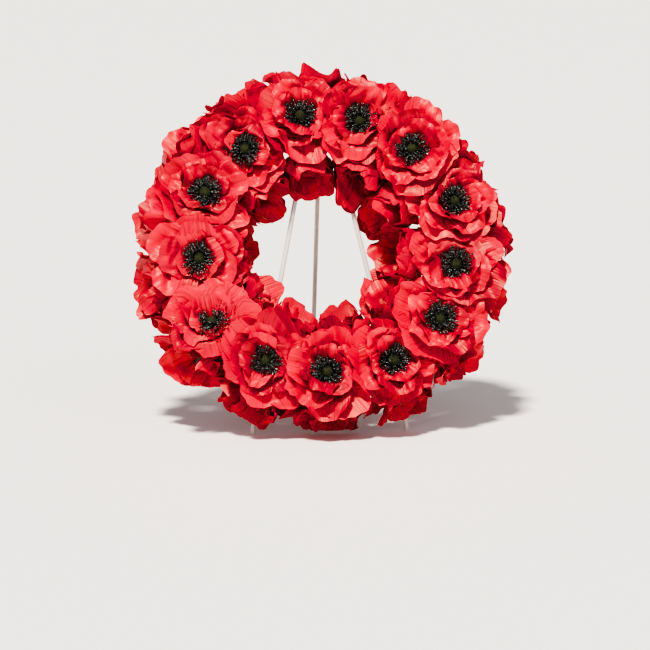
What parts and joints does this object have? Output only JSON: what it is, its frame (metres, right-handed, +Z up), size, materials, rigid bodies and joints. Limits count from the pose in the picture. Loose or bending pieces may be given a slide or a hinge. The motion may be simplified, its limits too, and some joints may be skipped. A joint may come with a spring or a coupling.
{
  "type": "poppy wreath on a wire easel",
  "caption": "Round wreath of red fabric poppies with dark stamens on a wire frame, leaning on a white wire tripod easel.",
  "frame": {"origin": "on the surface that the easel stands on, in the middle of the part's box", "axes": "+Z up, the wreath faces -Y and leans back towards +Y, +X to the right of someone who faces it"},
  "size_m": [0.3795, 0.2566, 0.3606],
  "materials": {
    "petals": "dyed polyester, pressed with fine pleats",
    "stamens": "moulded, with a fuzzy olive button",
    "frame_wire": "dark green coating",
    "easel_wire": "white powder coat"
  },
  "bodies": {
    "root": {"poppy_front_01": "petals", "stamens_front_01": "stamens", "poppy_front_02": "petals", "stamens_front_02": "stamens", "poppy_front_03": "petals", "stamens_front_03": "stamens", "poppy_front_04": "petals", "stamens_front_04": "stamens", "poppy_front_05": "petals", "stamens_front_05": "stamens", "poppy_front_06": "petals", "stamens_front_06": "stamens", "poppy_front_07": "petals", "stamens_front_07": "stamens", "poppy_front_08": "petals", "stamens_front_08": "stamens", "poppy_front_09": "petals", "stamens_front_09": "stamens", "poppy_front_10": "petals", "stamens_front_10": "stamens", "poppy_front_11": "petals", "stamens_front_11": "stamens", "poppy_front_12": "petals", "stamens_front_12": "stamens", "poppy_front_13": "petals", "stamens_front_13": "stamens", "poppy_outer_01": "petals", "poppy_outer_02": "petals", "poppy_outer_03": "petals", "poppy_outer_04": "petals", "poppy_outer_05": "petals", "poppy_outer_06": "petals", "poppy_outer_07": "petals", "poppy_outer_08": "petals", "poppy_outer_09": "petals", "poppy_outer_10": "petals", "poppy_outer_11": "petals", "poppy_outer_12": "petals", "poppy_outer_13": "petals", "poppy_outer_14": "petals", "poppy_inner_01": "petals", "poppy_inner_02": "petals", "poppy_inner_03": "petals", "poppy_inner_04": "petals", "poppy_inner_05": "petals", "poppy_inner_06": "petals", "poppy_inner_07": "petals", "poppy_inner_08": "petals", "poppy_inner_09": "petals", "poppy_inner_10": "petals", "wire_frame": "frame_wire", "wire_easel": "easel_wire"}
  },
  "joints": []
}
